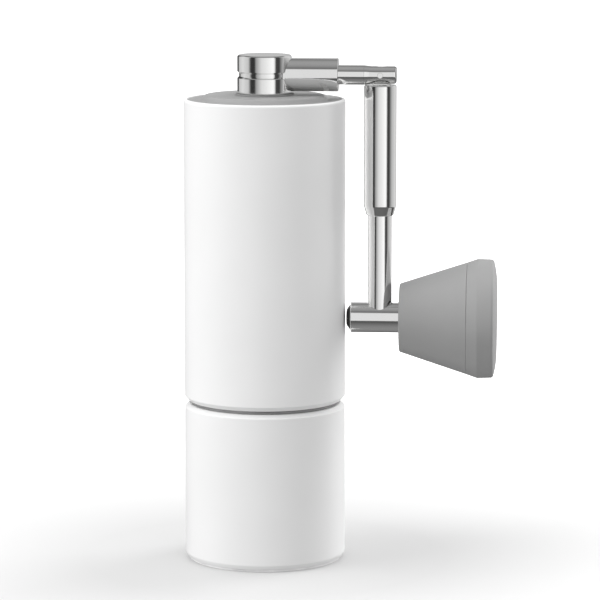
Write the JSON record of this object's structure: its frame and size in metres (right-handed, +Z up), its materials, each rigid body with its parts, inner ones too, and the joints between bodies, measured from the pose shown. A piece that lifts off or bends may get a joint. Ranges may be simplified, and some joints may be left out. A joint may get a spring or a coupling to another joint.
{
  "type": "hand crank coffee grinder",
  "caption": "Slim cylindrical hand coffee grinder: white body and screw-on cup, grey lid, chrome crank folded down beside the body with a flared grey knob.",
  "frame": {"origin": "centre of the face that the grinder stands on, on the drive axis", "axes": "+Z up along the drive axis; +X toward the crank arm, which is folded down beside the body"},
  "size_m": [0.103, 0.053, 0.1668],
  "materials": {
    "white_coat": "satin white powder coat",
    "stainless": "brushed",
    "black_anodised": "black anodised",
    "carrier_plastic": "moulded, matt",
    "burr_steel": "ground tool steel",
    "dark_screw": "black oxide",
    "bearing_steel": "ground",
    "brass": "turned",
    "rubber": "moulded rubber",
    "foot_grey": "grey rubber",
    "grey_plastic": "fine grained moulding",
    "chrome": "polished",
    "black_plastic": "moulded"
  },
  "bodies": {
    "body": {"body_shell": "white_coat", "inner_sleeve": "stainless", "threaded_neck": "black_anodised", "burr_carrier": "carrier_plastic", "ring_burr": "burr_steel", "burr_retaining_ring": "burr_steel", "bridge_screws": "dark_screw", "upper_bridge": "stainless", "lower_bridge": "stainless", "upper_bearing_outer": "bearing_steel", "lower_bearing_outer": "bearing_steel"},
    "balls": {"upper_bearing_balls": "bearing_steel", "lower_bearing_balls": "bearing_steel"},
    "shaft": {"drive_shaft": "bearing_steel", "upper_bearing_inner": "bearing_steel", "lower_bearing_inner": "bearing_steel", "shaft_clip": "stainless", "shaft_end_clip": "stainless", "burr_spring": "stainless"},
    "cone": {"cone_burr": "burr_steel", "burr_washer": "stainless", "detent_ball": "bearing_steel", "detent_spring": "stainless"},
    "dial": {"adjust_dial": "black_anodised", "dial_nut": "brass"},
    "gasket": {"cup_gasket": "rubber"},
    "cup": {"cup": "white_coat", "cup_foot_pad": "foot_grey"},
    "lid": {"lid": "grey_plastic", "lid_seal_ring": "rubber", "lid_bush": "brass"},
    "crank": {"crank_hub": "chrome", "hub_washer": "rubber", "drive_socket": "bearing_steel", "hub_clip": "stainless", "arm_base": "chrome", "arm_rod": "chrome", "arm_fork": "chrome", "hinge_pin": "chrome"},
    "arm": {"arm_stem": "chrome", "arm_tube": "chrome", "cross_rod": "chrome", "cross_rod_plug": "black_plastic", "knob_axle": "bearing_steel", "knob_screw": "dark_screw", "knob_washer": "stainless", "sleeve_spring": "stainless"},
    "sleeve": {"lock_sleeve": "chrome"},
    "knob": {"knob_shell": "grey_plastic", "knob_cap": "grey_plastic", "knob_bush_inner": "brass", "knob_bush_outer": "brass"}
  },
  "joints": [
    {"name": "lid_lift", "type": "slide", "parent": "body", "child": "lid", "axis": [0, 0, 1], "range_m": [0, 0.03]},
    {"name": "crank_spin", "type": "hinge", "parent": "lid", "child": "crank", "pos_m": [0, 0, 0.16035], "axis": [0, 0, 1], "continuous": true},
    {"name": "arm_fold", "type": "hinge", "parent": "crank", "child": "arm", "pos_m": [0.03787, 0, 0.16035], "axis": [0, -1, 0], "range_deg": [0, 90]},
    {"name": "sleeve_draw", "type": "slide", "parent": "arm", "child": "sleeve", "axis": [0, 0, -1], "range_m": [0, 0.0105], "deforming": ["sleeve_spring"]},
    {"name": "knob_spin", "type": "hinge", "parent": "arm", "child": "knob", "pos_m": [0.0605, 0, 0.0806], "axis": [1, 0, 0], "continuous": true},
    {"name": "shaft_spin", "type": "hinge", "parent": "body", "child": "shaft", "pos_m": [0, 0, 0.1], "axis": [0, 0, 1], "continuous": true},
    {"name": "balls_orbit", "type": "hinge", "parent": "body", "child": "balls", "pos_m": [0, 0, 0.1], "axis": [0, 0, 1], "continuous": true},
    {"name": "burr_shift", "type": "slide", "parent": "shaft", "child": "cone", "axis": [0, 0, 1], "range_m": [-0.0012, 0.0004], "deforming": ["burr_spring"]},
    {"name": "dial_turn", "type": "hinge", "parent": "cone", "child": "dial", "pos_m": [0, 0, 0.055], "axis": [0, 0, 1], "range_deg": [-540, 180]},
    {"name": "cup_drop", "type": "slide", "parent": "body", "child": "gasket", "axis": [0, 0, -1], "range_m": [0, 0.0101]},
    {"name": "cup_turn", "type": "hinge", "parent": "gasket", "child": "cup", "pos_m": [0, 0, 0.026], "axis": [0, 0, -1], "range_deg": [0, 900]}
  ],
  "couplings": [
    {"joint": "sleeve_draw", "follows": "arm_fold", "m_per_rad": 0.006},
    {"joint": "shaft_spin", "follows": "crank_spin", "ratio": 1},
    {"joint": "balls_orbit", "follows": "crank_spin", "ratio": 0.4},
    {"joint": "dial_turn", "follows": "burr_shift", "rad_per_m": 7854},
    {"joint": "cup_drop", "follows": "cup_turn", "m_per_rad": 0.00063662}
  ]
}
